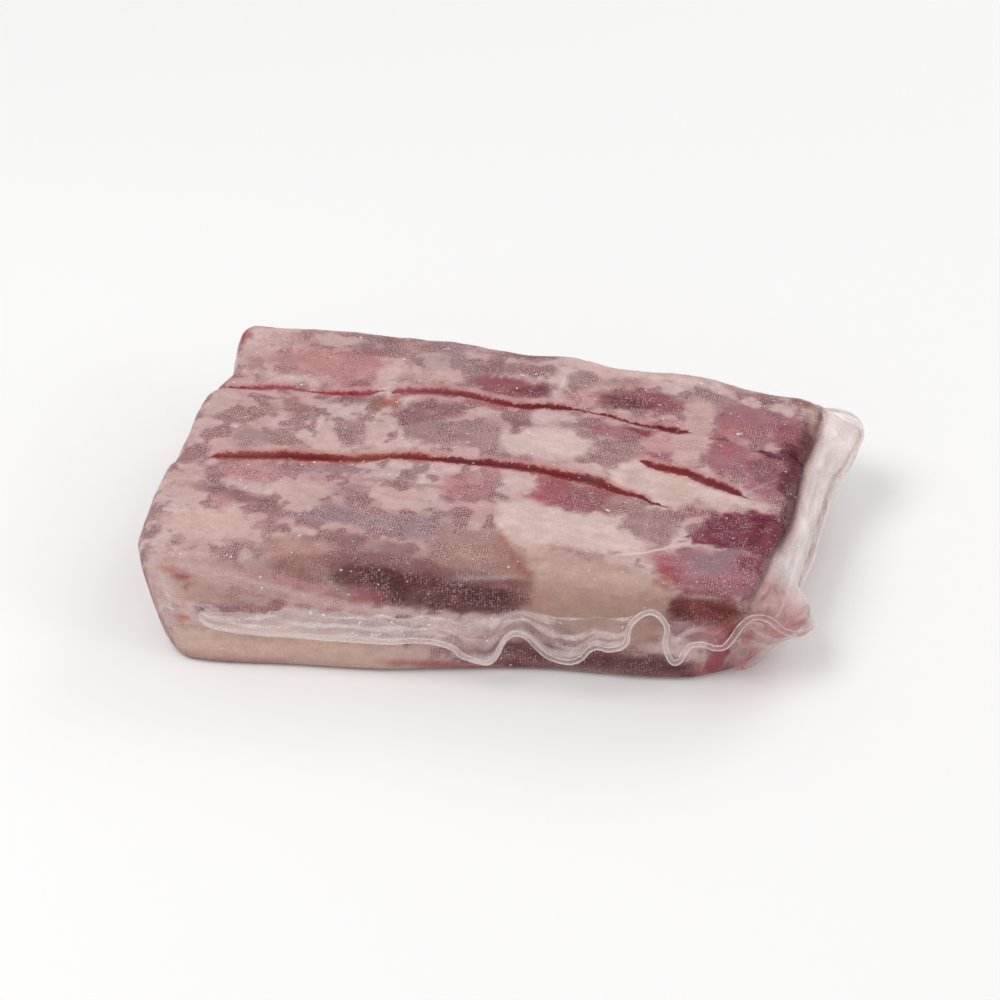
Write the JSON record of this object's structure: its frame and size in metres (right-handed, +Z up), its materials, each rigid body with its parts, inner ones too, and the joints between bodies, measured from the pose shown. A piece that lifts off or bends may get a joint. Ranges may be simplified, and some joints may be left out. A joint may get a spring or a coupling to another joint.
{
  "type": "vacuum-packed raw beef short ribs",
  "caption": "Frozen raw beef short rib strips lying side by side, shrunk tight in a clear vacuum bag with a ruffled seam and a loose sealed end.",
  "frame": {"origin": "under the middle of the pack, on its flat underside", "axes": "+X along the strips towards the loose sealed end of the bag, +Y across the strips towards the back one, +Z up"},
  "size_m": [0.2914, 0.1884, 0.0549],
  "materials": {
    "filmed_meat": "greyish pink frozen meat and cream fat under clear embossed film",
    "clear_film": "clear whitish vacuum bag film, wrinkled and satin gloss"
  },
  "bodies": {
    "root": {"sealed_rib_pack": "filmed_meat"}
  },
  "joints": []
}
